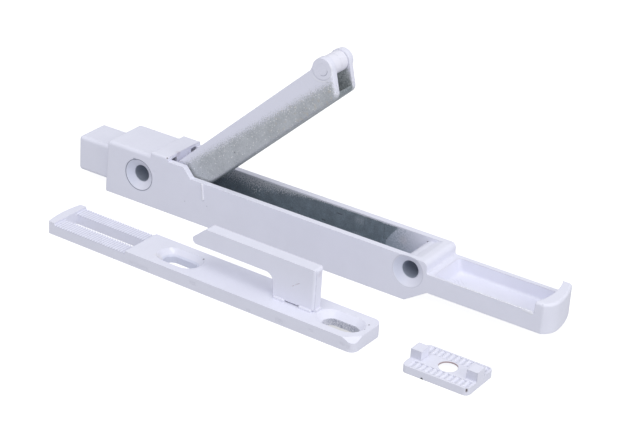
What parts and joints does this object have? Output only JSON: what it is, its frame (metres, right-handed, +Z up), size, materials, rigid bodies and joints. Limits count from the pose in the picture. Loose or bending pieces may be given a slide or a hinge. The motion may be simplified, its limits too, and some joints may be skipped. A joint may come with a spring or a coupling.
{
  "type": "window restrictor",
  "caption": "Window restrictor: channel-shaped arm unit with a push button and a folding roller arm, hooked keep plate with serrated rails, and ridged clamping plate.",
  "frame": {"origin": "middle of the footprint of the whole set, on the surface that its three parts stand on", "axes": "+X along the arm unit from its button to its lip, +Y from the front face with the countersinks to the plain back face, +Z up"},
  "size_m": [0.1496, 0.0462, 0.0571],
  "materials": {
    "coated_casting": "satin",
    "coated_slide": "satin",
    "coated_arm": "satin",
    "coated_keep": "satin",
    "coated_hook": "satin",
    "coated_clamp": "satin",
    "spring_steel": "drawn wire",
    "plain_steel": "turned",
    "painted_pin": "satin",
    "white_nylon": "moulded"
  },
  "bodies": {
    "fixed_set": {"body_casting": "coated_casting", "return_spring": "spring_steel", "slide_stop_pin": "plain_steel", "pivot_pin": "plain_steel", "keep_plate": "coated_keep", "keep_hook": "coated_hook", "clamp_plate": "coated_clamp"},
    "slide": {"release_slide": "coated_slide"},
    "arm": {"swing_arm": "coated_arm", "roller_pin": "painted_pin"},
    "arm_roller": {"roller": "white_nylon"}
  },
  "joints": [
    {"name": "arm_swing", "type": "hinge", "parent": "fixed_set", "child": "arm", "pos_m": [-0.0394, 0.01578, 0.0123], "axis": [0, 1, 0], "range_deg": [0, 43.3]},
    {"name": "release_button", "type": "slide", "parent": "fixed_set", "child": "slide", "axis": [1, 0, 0], "range_m": [0, 0.004], "stiffness_N_per_m": 800, "springref_m": -0.003, "deforming": ["return_spring"]},
    {"name": "roller_spin", "type": "hinge", "parent": "arm", "child": "arm_roller", "pos_m": [0.00287, 0.01578, 0.0542], "axis": [0, 1, 0], "continuous": true}
  ]
}
